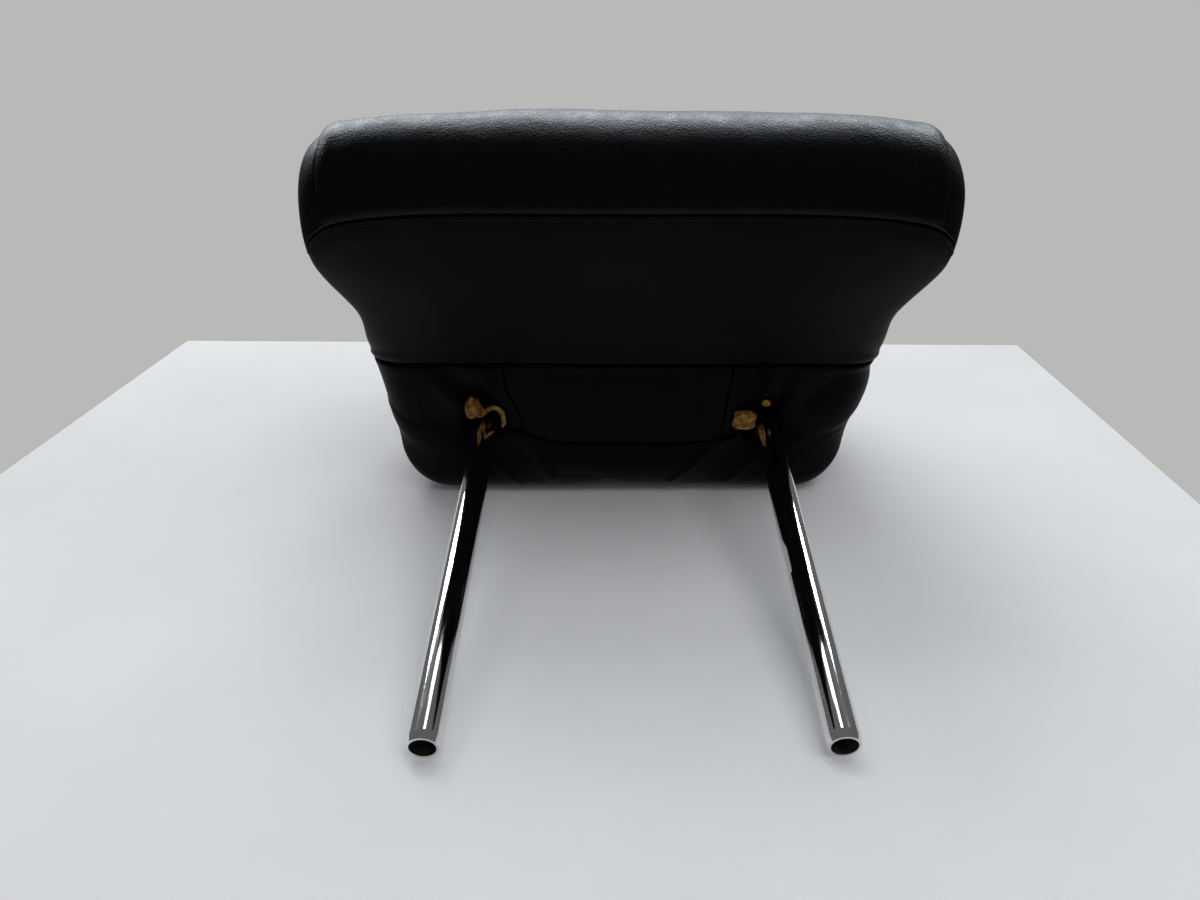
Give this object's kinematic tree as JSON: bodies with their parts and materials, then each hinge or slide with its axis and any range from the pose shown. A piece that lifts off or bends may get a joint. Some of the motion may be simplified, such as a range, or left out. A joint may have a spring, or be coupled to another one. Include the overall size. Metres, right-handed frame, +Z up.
{
  "type": "car headrest",
  "caption": "Padded car headrest with a deep chin, covered in leather and vinyl, on a bent chromed tube frame whose posts slide into a seat back.",
  "frame": {"origin": "midway between the lower ends of the two posts, on their axes", "axes": "+Z runs up along the posts, the front of the pad faces -Y, and +X is to the right of someone who faces that front"},
  "size_m": [0.268, 0.2249, 0.332],
  "materials": {
    "chrome_tube": "bright chrome plate, a little scratched",
    "plain_steel": "plain pressed and drawn steel",
    "foam": "aged yellow moulded foam",
    "leather": "black grained leather, satin",
    "vinyl": "black smooth vinyl, satin",
    "strip_plastic": "black extruded plastic"
  },
  "bodies": {
    "root": {"post_frame": "chrome_tube", "stiffener_plate": "plain_steel", "chin_hoop": "plain_steel", "foam_core": "foam", "cover_front": "leather", "cover_side_left": "leather", "cover_side_right": "leather", "cover_chin": "vinyl", "cover_flap": "vinyl", "cover_back": "vinyl", "chin_closure_hook": "strip_plastic", "chin_closure_catch": "strip_plastic", "rear_closure_hook": "strip_plastic", "rear_closure_catch": "strip_plastic"}
  },
  "joints": []
}
